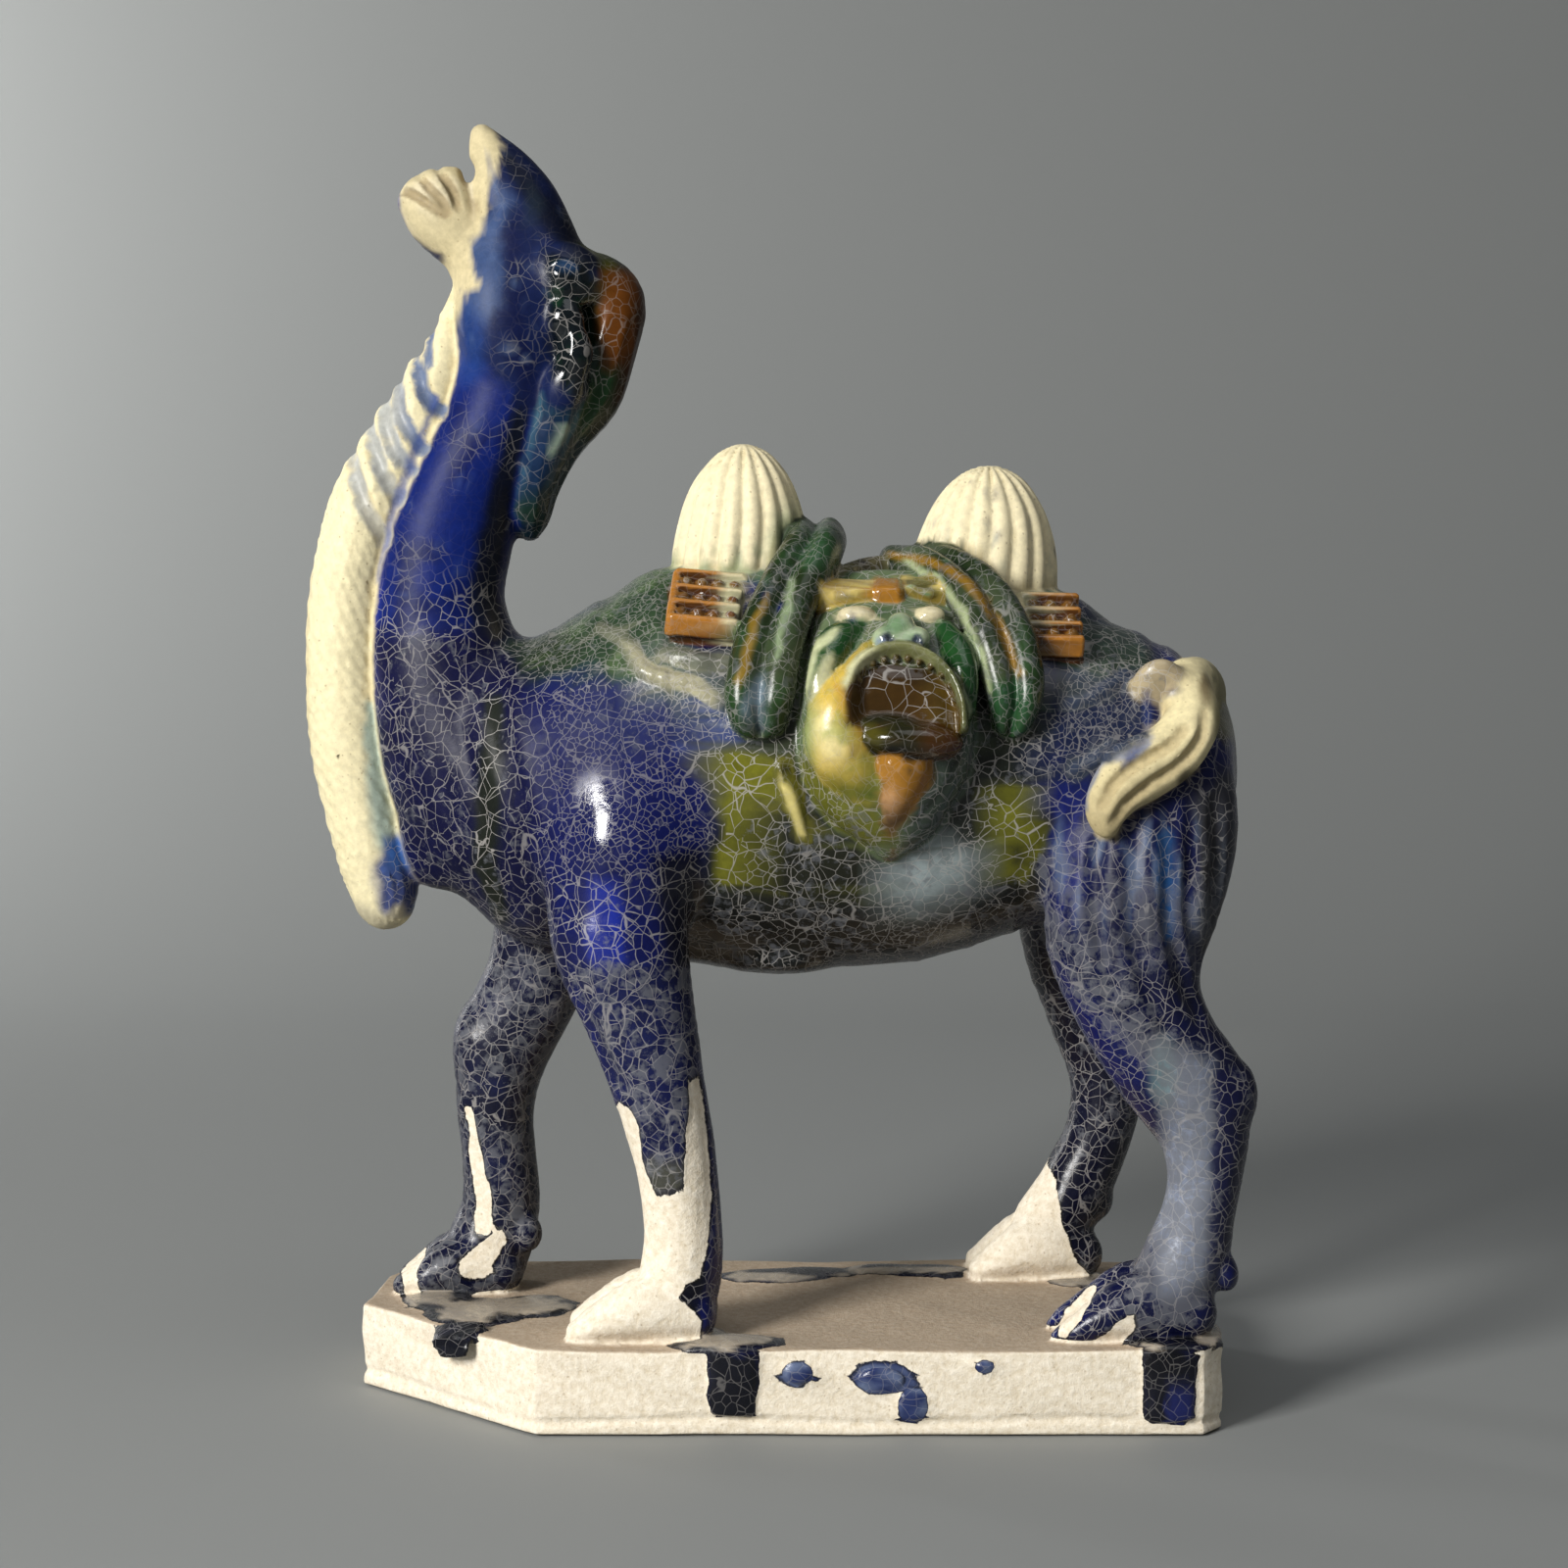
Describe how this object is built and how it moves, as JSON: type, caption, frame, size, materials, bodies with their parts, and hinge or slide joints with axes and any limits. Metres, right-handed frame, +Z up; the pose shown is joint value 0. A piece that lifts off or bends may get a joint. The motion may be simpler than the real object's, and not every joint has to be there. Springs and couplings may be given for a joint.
{
  "type": "sancai camel figure",
  "caption": "Glazed pottery Bactrian camel with thrown-back head and open mouth, fluted humps and a monster mask saddlebag, standing on a cut-cornered clay slab.",
  "frame": {"origin": "middle of the slab's outline, on its flat underside", "axes": "+Z up, head towards -X, tail towards +X, the side with the mask faces -Y"},
  "size_m": [0.2044, 0.0961, 0.2789],
  "materials": {
    "cobalt_glaze": "crackled lead glaze, cobalt blue with cream, amber and green, bare bisque clay at the feet and slab"
  },
  "bodies": {
    "root": {"camel_figure": "cobalt_glaze"}
  },
  "joints": []
}
